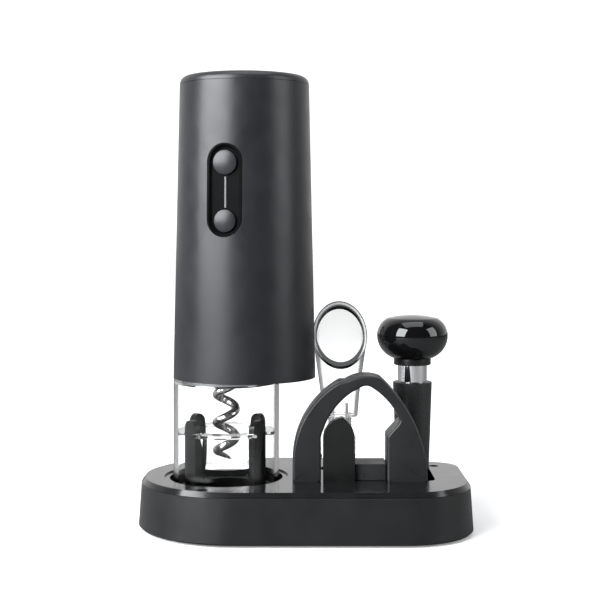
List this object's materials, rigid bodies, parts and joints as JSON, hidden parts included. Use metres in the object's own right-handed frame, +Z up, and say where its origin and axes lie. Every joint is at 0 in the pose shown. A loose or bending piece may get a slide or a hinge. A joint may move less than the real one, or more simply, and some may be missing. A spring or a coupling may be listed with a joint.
{
  "type": "electric wine opener set",
  "caption": "Cordless electric corkscrew with a clear chamber on a low charcoal stand, beside an arched foil cutter, a clear slanted pourer and a knob-topped vacuum stopper.",
  "frame": {"origin": "centre of the stand's footprint at table height", "axes": "+Z up, +X from the opener's end of the stand towards the stopper's end, the opener's buttons and the straight long side of the stand face -Y"},
  "size_m": [0.1546, 0.093, 0.2095],
  "materials": {
    "charcoal_housing": "fine matte moulded plastic with a broad soft sheen",
    "charcoal_stand": "fine matte moulded plastic",
    "stand_lid": "satin moulded plastic that mirrors its surroundings at low angles",
    "black_plastic": "matte black moulded plastic",
    "black_gloss": "mirror gloss black plastic",
    "black_rubber": "pebbled soft rubber",
    "clear_plastic": "clear polished acrylic",
    "chrome": "polished chrome",
    "steel": "bright steel",
    "brass": "turned brass",
    "white_plastic": "white nylon",
    "light_window": "milky light window",
    "board_green": "circuit board with parts",
    "cell_wrap": "printed-free battery sleeve over steel",
    "copper_core": "lacquered copper windings on a steel core"
  },
  "bodies": {
    "stand": {"base_tray": "charcoal_stand", "base_lid": "stand_lid", "rubber_feet": "black_rubber", "lid_screws": "steel", "opener_cup": "black_plastic", "tool_tray": "black_plastic", "pourer_socket": "black_plastic", "rest_post": "black_gloss", "rest_block": "black_rubber"},
    "opener": {"housing_shell": "charcoal_housing", "switch_bezel": "black_gloss", "light_pipe": "light_window", "control_board": "board_green", "tact_switches": "steel", "battery_cells": "cell_wrap", "battery_tray": "black_plastic", "battery_contacts": "steel", "chassis_frame": "black_plastic", "chassis_screws": "steel", "motor_can": "steel", "motor_magnets": "steel", "gearbox_case": "steel", "output_bush": "brass", "chamber_tube": "clear_plastic", "chamber_ring": "chrome", "neck_guide": "clear_plastic", "guide_prongs": "black_plastic"},
    "cap": {"top_cap": "charcoal_housing"},
    "up_key": {"up_button": "charcoal_housing"},
    "down_key": {"down_button": "charcoal_housing"},
    "rotor": {"motor_armature": "copper_core", "sun_pinion": "brass"},
    "first_stage": {"carrier_1": "steel"},
    "planet_body_1a": {"planet_1a": "white_plastic"},
    "planet_body_1b": {"planet_1b": "white_plastic"},
    "planet_body_1c": {"planet_1c": "white_plastic"},
    "drive": {"carrier_2": "steel", "worm": "steel"},
    "planet_body_2a": {"planet_2a": "white_plastic"},
    "planet_body_2b": {"planet_2b": "white_plastic"},
    "planet_body_2c": {"planet_2c": "white_plastic"},
    "foil_cutter": {"cutter_front_shell": "black_plastic", "cutter_back_shell": "black_plastic", "wheel_pins": "steel", "cutter_screws": "steel"},
    "wheel_1": {"cutter_wheel_1": "steel"},
    "wheel_2": {"cutter_wheel_2": "steel"},
    "wheel_3": {"cutter_wheel_3": "steel"},
    "wheel_4": {"cutter_wheel_4": "steel"},
    "pourer": {"pourer_spout": "clear_plastic", "pourer_rim": "black_gloss", "pourer_tube": "clear_plastic", "pourer_plug": "black_rubber"},
    "stopper": {"stopper_sleeve": "black_rubber", "pump_spring": "steel"},
    "pump_head": {"stopper_knob": "black_gloss", "stopper_collar": "black_plastic", "stopper_neck": "chrome"}
  },
  "joints": [
    {"name": "opener_lift", "type": "slide", "parent": "stand", "child": "opener", "axis": [0, 0, 1], "range_m": [0, 0.12]},
    {"name": "cap_lift", "type": "slide", "parent": "opener", "child": "cap", "axis": [0, 0, 1], "range_m": [0, 0.03]},
    {"name": "up_press", "type": "slide", "parent": "opener", "child": "up_key", "axis": [0.2521, 0.9677, 0], "range_m": [0, 0.001], "stiffness_N_per_m": 400, "springref_m": -0.002},
    {"name": "down_press", "type": "slide", "parent": "opener", "child": "down_key", "axis": [0.2521, 0.9677, 0], "range_m": [0, 0.001], "stiffness_N_per_m": 400, "springref_m": -0.002},
    {"name": "motor_spin", "type": "hinge", "parent": "opener", "child": "rotor", "pos_m": [-0.0364, -0.003, 0.12], "axis": [0, 0, 1], "continuous": true},
    {"name": "first_stage_spin", "type": "hinge", "parent": "opener", "child": "first_stage", "pos_m": [-0.0364, -0.003, 0.095], "axis": [0, 0, 1], "continuous": true},
    {"name": "worm_spin", "type": "hinge", "parent": "opener", "child": "drive", "pos_m": [-0.0364, -0.003, 0.08], "axis": [0, 0, 1], "continuous": true},
    {"name": "planet_1a_spin", "type": "hinge", "parent": "first_stage", "child": "planet_body_1a", "pos_m": [-0.0289, -0.003, 0.1], "axis": [0, 0, 1], "continuous": true},
    {"name": "planet_1b_spin", "type": "hinge", "parent": "first_stage", "child": "planet_body_1b", "pos_m": [-0.04015, 0.00349, 0.1], "axis": [0, 0, 1], "continuous": true},
    {"name": "planet_1c_spin", "type": "hinge", "parent": "first_stage", "child": "planet_body_1c", "pos_m": [-0.04015, -0.00949, 0.1], "axis": [0, 0, 1], "continuous": true},
    {"name": "planet_2a_spin", "type": "hinge", "parent": "drive", "child": "planet_body_2a", "pos_m": [-0.0289, -0.003, 0.09], "axis": [0, 0, 1], "continuous": true},
    {"name": "planet_2b_spin", "type": "hinge", "parent": "drive", "child": "planet_body_2b", "pos_m": [-0.04015, 0.00349, 0.09], "axis": [0, 0, 1], "continuous": true},
    {"name": "planet_2c_spin", "type": "hinge", "parent": "drive", "child": "planet_body_2c", "pos_m": [-0.04015, -0.00949, 0.09], "axis": [0, 0, 1], "continuous": true},
    {"name": "cutter_draw", "type": "slide", "parent": "stand", "child": "foil_cutter", "axis": [0, -0.9063, 0.4226], "range_m": [0, 0.07]},
    {"name": "wheel_1_spin", "type": "hinge", "parent": "foil_cutter", "child": "wheel_1", "pos_m": [0.0058, -0.01095, 0.034], "axis": [0, 1, 0], "continuous": true},
    {"name": "wheel_2_spin", "type": "hinge", "parent": "foil_cutter", "child": "wheel_2", "pos_m": [0.0091, -0.01095, 0.0544], "axis": [0, 1, 0], "continuous": true},
    {"name": "wheel_3_spin", "type": "hinge", "parent": "foil_cutter", "child": "wheel_3", "pos_m": [0.0395, -0.01095, 0.034], "axis": [0, 1, 0], "continuous": true},
    {"name": "wheel_4_spin", "type": "hinge", "parent": "foil_cutter", "child": "wheel_4", "pos_m": [0.0441, -0.01095, 0.0545], "axis": [0, 1, 0], "continuous": true},
    {"name": "pourer_lift", "type": "slide", "parent": "stand", "child": "pourer", "axis": [0, 0, 1], "range_m": [0, 0.09]},
    {"name": "stopper_lift", "type": "slide", "parent": "stand", "child": "stopper", "axis": [0, 0, 1], "range_m": [0, 0.09]},
    {"name": "pump_press", "type": "slide", "parent": "stopper", "child": "pump_head", "axis": [0, 0, 1], "range_m": [-0.0075, 0], "stiffness_N_per_m": 600, "springref_m": 0.006, "deforming": ["pump_spring"]}
  ],
  "couplings": [
    {"joint": "motor_spin", "follows": "worm_spin", "ratio": 25},
    {"joint": "first_stage_spin", "follows": "worm_spin", "ratio": 5},
    {"joint": "planet_1a_spin", "follows": "worm_spin", "ratio": -13.333},
    {"joint": "planet_1b_spin", "follows": "worm_spin", "ratio": -13.333},
    {"joint": "planet_1c_spin", "follows": "worm_spin", "ratio": -13.333},
    {"joint": "planet_2a_spin", "follows": "worm_spin", "ratio": -2.6667},
    {"joint": "planet_2b_spin", "follows": "worm_spin", "ratio": -2.6667},
    {"joint": "planet_2c_spin", "follows": "worm_spin", "ratio": -2.6667}
  ]
}
